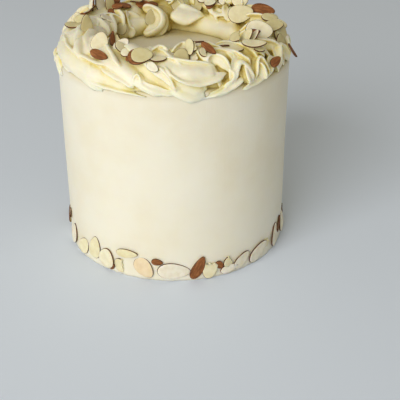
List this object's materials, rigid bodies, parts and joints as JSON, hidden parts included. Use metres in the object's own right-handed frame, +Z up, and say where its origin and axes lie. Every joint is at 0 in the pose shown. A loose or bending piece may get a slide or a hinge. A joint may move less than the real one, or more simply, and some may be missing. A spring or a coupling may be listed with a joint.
{
  "type": "amaretto cake",
  "caption": "Tall round cake coated in smooth buttercream, with a piped ring round the top and flaked almonds on the ring and the foot.",
  "frame": {"origin": "centre of the flat underside", "axes": "+Z up along the cake's axis; -Y is the side the picture shows, +X its right"},
  "size_m": [0.1538, 0.1542, 0.1619],
  "materials": {
    "buttercream_coat": "smoothed buttercream, soft satin",
    "piped_buttercream": "piped buttercream, soft satin",
    "almond_flesh": "dry cut nut",
    "almond_skin": "papery brown skin"
  },
  "bodies": {
    "root": {"iced_cake": "buttercream_coat", "piped_ring": "piped_buttercream"}
  },
  "joints": []
}
